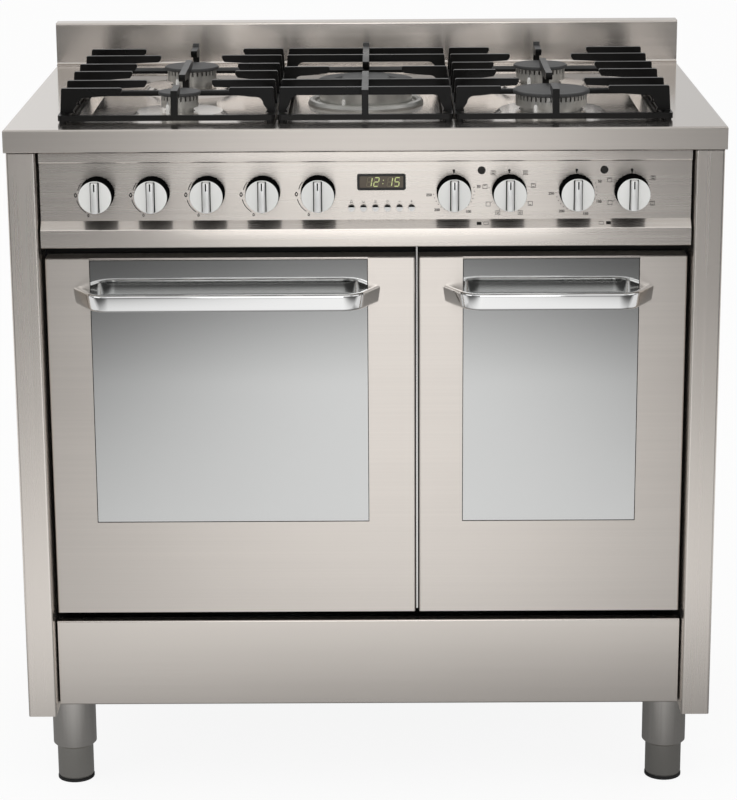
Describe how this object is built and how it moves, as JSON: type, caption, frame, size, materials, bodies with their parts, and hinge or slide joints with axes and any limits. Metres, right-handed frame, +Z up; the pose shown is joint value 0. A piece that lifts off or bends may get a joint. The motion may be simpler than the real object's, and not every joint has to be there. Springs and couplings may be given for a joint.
{
  "type": "range cooker",
  "caption": "Free-standing range cooker with a gas hob under cast pan supports, a splashback, a large and a small oven with drop-down doors, dials, and a storage flap on round feet.",
  "frame": {"origin": "on the floor, under the middle of the whole cooker's outline", "axes": "+Z up, -Y out of the front towards the cook, +X to the cook's right"},
  "size_m": [0.9, 0.62, 0.961],
  "materials": {
    "brushed_steel": "fine horizontal brushing",
    "polished_steel": "mirror polish",
    "zinc_sheet": "dull zinc sheet",
    "black_enamel": "satin black enamel",
    "oven_enamel": "speckled gloss enamel",
    "cast_iron": "satin black enamelled cast iron",
    "burner_aluminium": "satin cast aluminium",
    "cap_enamel": "matt dark grey enamel",
    "brass": "turned brass",
    "white_plastic": "moulded",
    "black_plastic": "gloss",
    "dark_lens": "smoked lens",
    "seal_rubber": "woven over silicone",
    "wire_chrome": "plated wire",
    "element_steel": "heat tinted",
    "door_glass": "mirror-grey tempered glass",
    "knob_silver": "satin silver over black skirt"
  },
  "bodies": {
    "cabinet": {"worktop": "brushed_steel", "splashback": "brushed_steel", "left_side_panel": "brushed_steel", "right_side_panel": "brushed_steel", "back_panel": "zinc_sheet", "base_chassis": "zinc_sheet", "front_frame": "black_enamel", "foot_sleeves": "brushed_steel", "foot_legs": "brushed_steel", "hinge_brackets": "zinc_sheet", "control_panel": "brushed_steel", "clock_display": "black_plastic", "indicator_lamps": "dark_lens", "gas_rail": "brass", "gas_taps": "brass", "oven_switches": "white_plastic", "burner_bases": "burner_aluminium", "burner_crowns": "burner_aluminium", "burner_caps": "cap_enamel", "main_oven_cavity": "oven_enamel", "small_oven_cavity": "oven_enamel", "oven_seals": "seal_rubber", "shelf_guides": "wire_chrome", "oven_shelves": "wire_chrome", "grill_elements": "element_steel", "fan_cover": "oven_enamel", "ring_element": "element_steel", "fan_motor": "zinc_sheet"},
    "fan": {"oven_fan": "zinc_sheet"},
    "main_door": {"main_door_panel": "brushed_steel", "main_door_outer_glass": "door_glass", "main_door_inner_glass": "door_glass", "main_door_liner": "black_enamel", "main_door_handle": "polished_steel", "main_door_hinges": "zinc_sheet"},
    "small_door": {"small_door_panel": "brushed_steel", "small_door_outer_glass": "door_glass", "small_door_inner_glass": "door_glass", "small_door_liner": "black_enamel", "small_door_handle": "polished_steel", "small_door_hinges": "zinc_sheet"},
    "flap": {"storage_flap": "brushed_steel"},
    "support_left": {"pan_support_left": "cast_iron"},
    "support_middle": {"pan_support_middle": "cast_iron"},
    "support_right": {"pan_support_right": "cast_iron"},
    "gas_knob_1": {"gas_knob_1": "knob_silver"},
    "gas_knob_2": {"gas_knob_2": "knob_silver"},
    "gas_knob_3": {"gas_knob_3": "knob_silver"},
    "gas_knob_4": {"gas_knob_4": "knob_silver"},
    "gas_knob_5": {"gas_knob_5": "knob_silver"},
    "main_thermostat_knob": {"main_thermostat_knob": "knob_silver"},
    "main_selector_knob": {"main_selector_knob": "knob_silver"},
    "small_thermostat_knob": {"small_thermostat_knob": "knob_silver"},
    "small_selector_knob": {"small_selector_knob": "knob_silver"},
    "clock_button_1": {"clock_button_1": "knob_silver"},
    "clock_button_2": {"clock_button_2": "knob_silver"},
    "clock_button_3": {"clock_button_3": "knob_silver"},
    "clock_button_4": {"clock_button_4": "knob_silver"},
    "clock_button_5": {"clock_button_5": "knob_silver"},
    "clock_button_6": {"clock_button_6": "knob_silver"}
  },
  "joints": [
    {"name": "oven_fan_spin", "type": "hinge", "parent": "cabinet", "child": "fan", "pos_m": [-0.17258, 0.19, 0.4915], "axis": [0, 1, 0], "continuous": true},
    {"name": "main_door_hinge", "type": "hinge", "parent": "cabinet", "child": "main_door", "pos_m": [-0.17258, -0.245, 0.262], "axis": [1, 0, 0], "range_deg": [0, 90], "stiffness_Nm_per_rad": 4, "springref_deg": -28.65},
    {"name": "small_door_hinge", "type": "hinge", "parent": "cabinet", "child": "small_door", "pos_m": [0.23717, -0.245, 0.262], "axis": [1, 0, 0], "range_deg": [0, 90], "stiffness_Nm_per_rad": 3, "springref_deg": -28.65},
    {"name": "storage_flap_hinge", "type": "hinge", "parent": "cabinet", "child": "flap", "pos_m": [0, -0.251, 0.131], "axis": [1, 0, 0], "range_deg": [0, 90], "stiffness_Nm_per_rad": 0.15, "springref_deg": -57.3},
    {"name": "pan_support_left_lift", "type": "slide", "parent": "cabinet", "child": "support_left", "axis": [0, 0, 1], "range_m": [0, 0.1]},
    {"name": "pan_support_middle_lift", "type": "slide", "parent": "cabinet", "child": "support_middle", "axis": [0, 0, 1], "range_m": [0, 0.1]},
    {"name": "pan_support_right_lift", "type": "slide", "parent": "cabinet", "child": "support_right", "axis": [0, 0, 1], "range_m": [0, 0.1]},
    {"name": "gas_knob_1_turn", "type": "hinge", "parent": "cabinet", "child": "gas_knob_1", "pos_m": [-0.3366, -0.27, 0.8165], "axis": [0, -1, 0], "range_deg": [0, 210]},
    {"name": "gas_knob_2_turn", "type": "hinge", "parent": "cabinet", "child": "gas_knob_2", "pos_m": [-0.2673, -0.27, 0.8165], "axis": [0, -1, 0], "range_deg": [0, 210]},
    {"name": "gas_knob_3_turn", "type": "hinge", "parent": "cabinet", "child": "gas_knob_3", "pos_m": [-0.198, -0.27, 0.8165], "axis": [0, -1, 0], "range_deg": [0, 210]},
    {"name": "gas_knob_4_turn", "type": "hinge", "parent": "cabinet", "child": "gas_knob_4", "pos_m": [-0.1287, -0.27, 0.8165], "axis": [0, -1, 0], "range_deg": [0, 210]},
    {"name": "gas_knob_5_turn", "type": "hinge", "parent": "cabinet", "child": "gas_knob_5", "pos_m": [-0.0594, -0.27, 0.8165], "axis": [0, -1, 0], "range_deg": [0, 210]},
    {"name": "main_thermostat_knob_turn", "type": "hinge", "parent": "cabinet", "child": "main_thermostat_knob", "pos_m": [0.11085, -0.27, 0.8165], "axis": [0, 1, 0], "range_deg": [0, 280]},
    {"name": "main_selector_knob_turn", "type": "hinge", "parent": "cabinet", "child": "main_selector_knob", "pos_m": [0.18015, -0.27, 0.8165], "axis": [0, 1, 0], "continuous": true},
    {"name": "small_thermostat_knob_turn", "type": "hinge", "parent": "cabinet", "child": "small_thermostat_knob", "pos_m": [0.26435, -0.27, 0.8165], "axis": [0, 1, 0], "range_deg": [0, 280]},
    {"name": "small_selector_knob_turn", "type": "hinge", "parent": "cabinet", "child": "small_selector_knob", "pos_m": [0.33365, -0.27, 0.8165], "axis": [0, 1, 0], "continuous": true},
    {"name": "clock_button_1_press", "type": "slide", "parent": "cabinet", "child": "clock_button_1", "axis": [0, 1, 0], "range_m": [0, 0.002], "stiffness_N_per_m": 300, "springref_m": -0.001},
    {"name": "clock_button_2_press", "type": "slide", "parent": "cabinet", "child": "clock_button_2", "axis": [0, 1, 0], "range_m": [0, 0.002], "stiffness_N_per_m": 300, "springref_m": -0.001},
    {"name": "clock_button_3_press", "type": "slide", "parent": "cabinet", "child": "clock_button_3", "axis": [0, 1, 0], "range_m": [0, 0.002], "stiffness_N_per_m": 300, "springref_m": -0.001},
    {"name": "clock_button_4_press", "type": "slide", "parent": "cabinet", "child": "clock_button_4", "axis": [0, 1, 0], "range_m": [0, 0.002], "stiffness_N_per_m": 300, "springref_m": -0.001},
    {"name": "clock_button_5_press", "type": "slide", "parent": "cabinet", "child": "clock_button_5", "axis": [0, 1, 0], "range_m": [0, 0.002], "stiffness_N_per_m": 300, "springref_m": -0.001},
    {"name": "clock_button_6_press", "type": "slide", "parent": "cabinet", "child": "clock_button_6", "axis": [0, 1, 0], "range_m": [0, 0.002], "stiffness_N_per_m": 300, "springref_m": -0.001}
  ]
}
